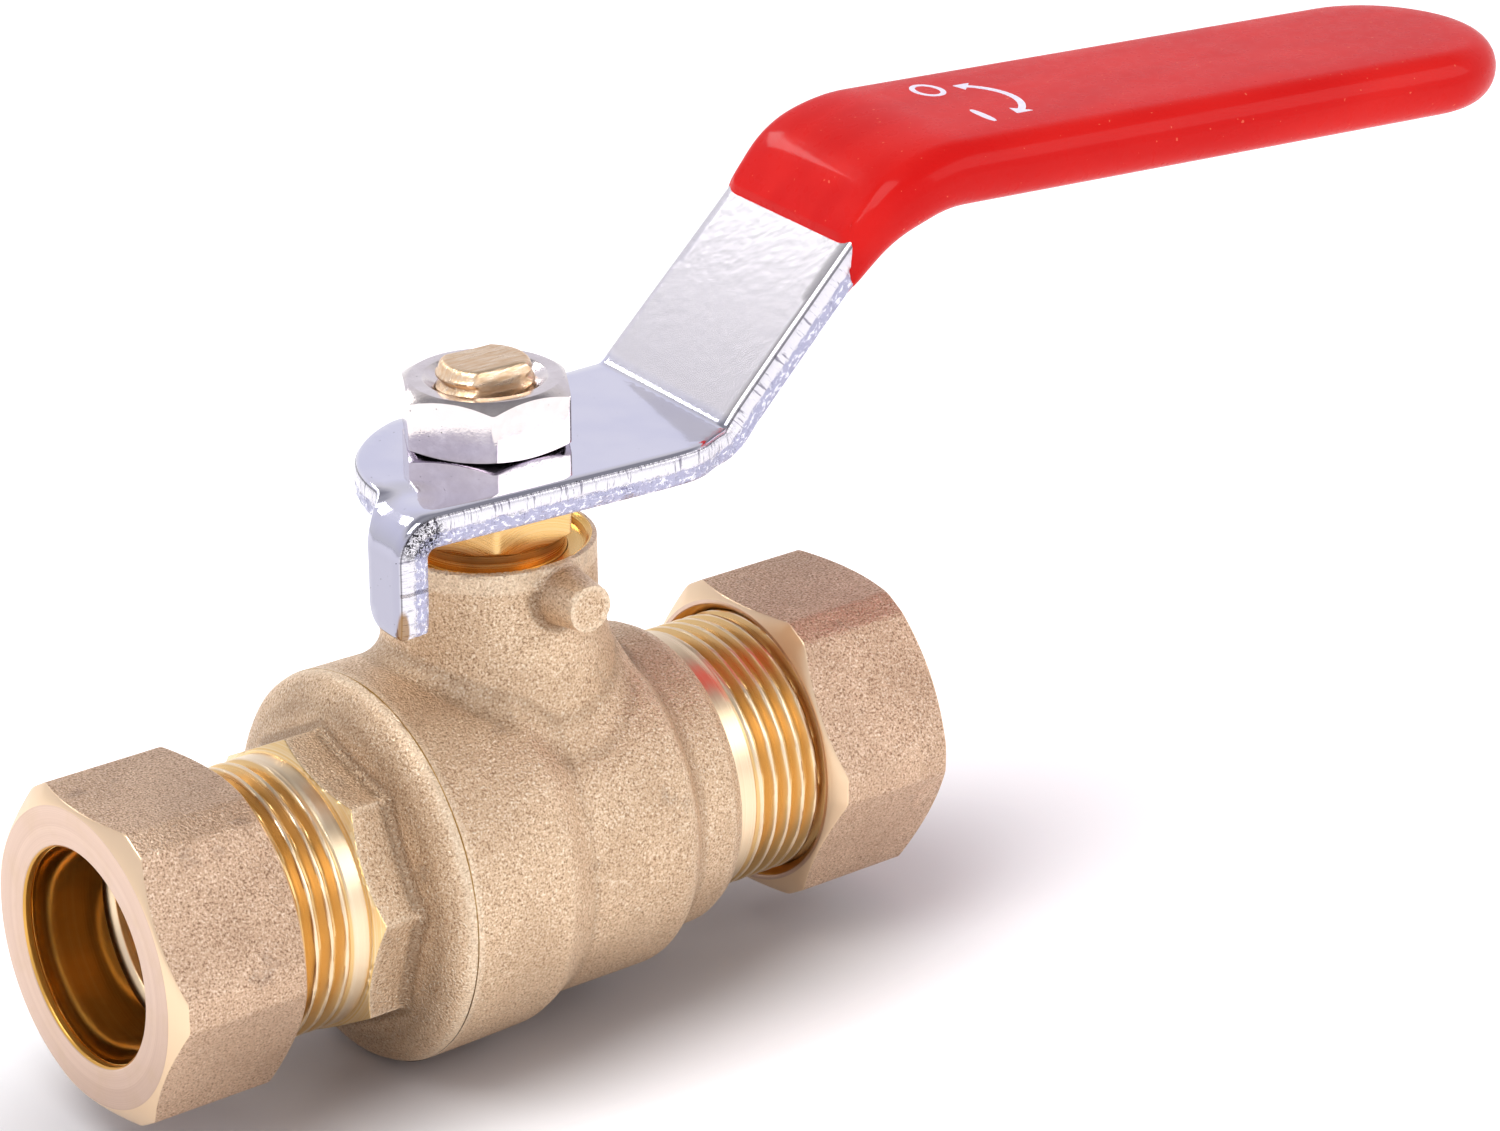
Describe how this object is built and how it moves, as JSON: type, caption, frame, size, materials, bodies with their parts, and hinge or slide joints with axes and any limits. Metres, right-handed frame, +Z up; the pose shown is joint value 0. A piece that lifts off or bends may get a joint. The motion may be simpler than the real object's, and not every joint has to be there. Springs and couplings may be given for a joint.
{
  "type": "ball valve",
  "caption": "Inline ball valve with a cranked, vinyl-dipped lever and a hexagonal compression nut and sleeve at each tube end.",
  "frame": {"origin": "centre of the ball, where the pipe axis meets the stem axis", "axes": "+X along the pipe axis towards the right-hand compression end, +Z up the stem axis towards the lever; at rest the lever lies over +X, 4.13 degrees clockwise seen from above"},
  "size_m": [0.1794, 0.0424, 0.0888],
  "materials": {
    "forged_brass": "shot-blasted forging",
    "nut_brass": "shot-blasted forging with turned faces",
    "turned_brass": "turned",
    "ball_chrome": "polished hard chrome on brass",
    "lever_plating": "bright zinc plating on pressed steel",
    "nut_nickel": "nickel plating",
    "dipped_vinyl": "glossy dipped vinyl",
    "ptfe": "smooth",
    "ring_rubber": "satin"
  },
  "bodies": {
    "valve": {"valve_body": "forged_brass", "end_cap": "forged_brass", "body_seal": "ptfe", "seat_left": "ptfe", "seat_right": "ptfe", "thrust_washer": "ptfe", "packing_lower": "ptfe", "packing_upper": "ptfe", "gland_nut": "turned_brass"},
    "lever_set": {"lever": "lever_plating", "grip": "dipped_vinyl", "lever_nut": "nut_nickel", "stem": "turned_brass", "stem_o_ring": "ring_rubber"},
    "ball": {"ball": "ball_chrome"},
    "sleeve_left": {"ferrule_left": "turned_brass"},
    "nut_left": {"nut_left": "nut_brass"},
    "sleeve_right": {"ferrule_right": "turned_brass"},
    "nut_right": {"nut_right": "nut_brass"}
  },
  "joints": [
    {"name": "lever_turn", "type": "hinge", "parent": "valve", "child": "lever_set", "pos_m": [0, 0, 0.04], "axis": [0, 0, 1], "range_deg": [-85.87, 4.13]},
    {"name": "ball_turn", "type": "hinge", "parent": "valve", "child": "ball", "pos_m": [0, 0, 0], "axis": [0, 0, 1], "range_deg": [-85.87, 4.13]},
    {"name": "nut_left_travel", "type": "slide", "parent": "valve", "child": "sleeve_left", "axis": [1, 0, 0], "range_m": [-0.00545, 0.00055]},
    {"name": "nut_left_turn", "type": "hinge", "parent": "sleeve_left", "child": "nut_left", "pos_m": [-0.042, 0, 0], "axis": [1, 0, 0], "range_deg": [-1080, 108]},
    {"name": "nut_right_travel", "type": "slide", "parent": "valve", "child": "sleeve_right", "axis": [-1, 0, 0], "range_m": [-0.00545, 0.00055]},
    {"name": "nut_right_turn", "type": "hinge", "parent": "sleeve_right", "child": "nut_right", "pos_m": [0.04, 0, 0], "axis": [-1, 0, 0], "range_deg": [-1080, 108]}
  ],
  "couplings": [
    {"joint": "ball_turn", "follows": "lever_turn", "ratio": 1},
    {"joint": "nut_left_travel", "follows": "nut_left_turn", "m_per_rad": 0.00028871},
    {"joint": "nut_right_travel", "follows": "nut_right_turn", "m_per_rad": 0.00028871}
  ]
}
